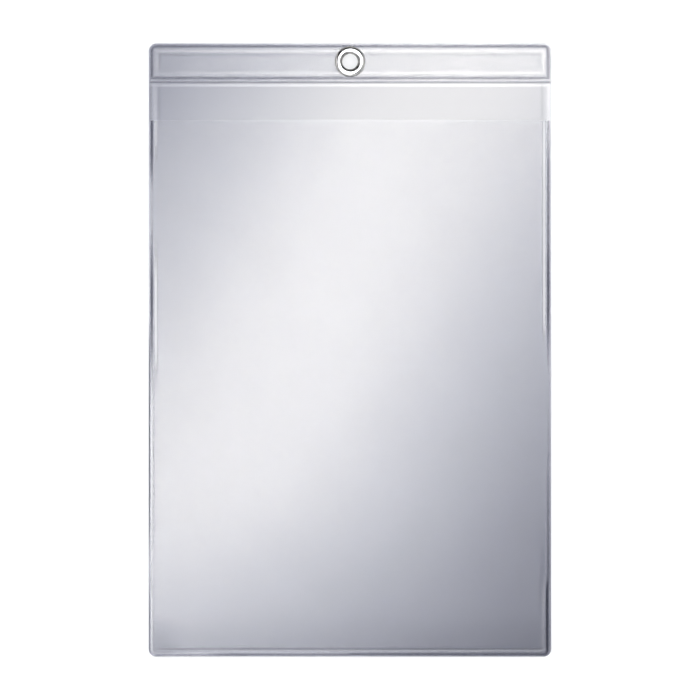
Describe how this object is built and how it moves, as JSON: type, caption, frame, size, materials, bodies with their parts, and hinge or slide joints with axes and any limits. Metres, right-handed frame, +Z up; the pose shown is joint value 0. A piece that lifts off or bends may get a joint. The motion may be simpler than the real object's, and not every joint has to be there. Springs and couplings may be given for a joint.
{
  "type": "sheet protector",
  "caption": "Clear vinyl hanging sheet protector: a flat page pocket open at the top front, under a welded header with a metal eyelet.",
  "frame": {"origin": "centre of the eyelet's bore, in the plane of the back film's rear face", "axes": "+Z up towards the header's top edge, -Y out of the pocket's front, +X to the reader's right"},
  "size_m": [0.2268, 0.01, 0.3458],
  "materials": {
    "back_vinyl": "clear soft PVC film with a cool grey haze, glossy",
    "front_vinyl": "clear soft PVC film, glossy, faint calender ripple",
    "header_vinyl": "clear soft PVC film, glossy, with a pressed weld line",
    "eyelet_nickel": "bright nickel plate",
    "washer_nickel": "nickel plate, tumbled"
  },
  "bodies": {
    "root": {"back_sheet": "back_vinyl", "front_sheet": "front_vinyl", "header_strip": "header_vinyl", "eyelet": "eyelet_nickel", "eyelet_washer": "washer_nickel"}
  },
  "joints": []
}
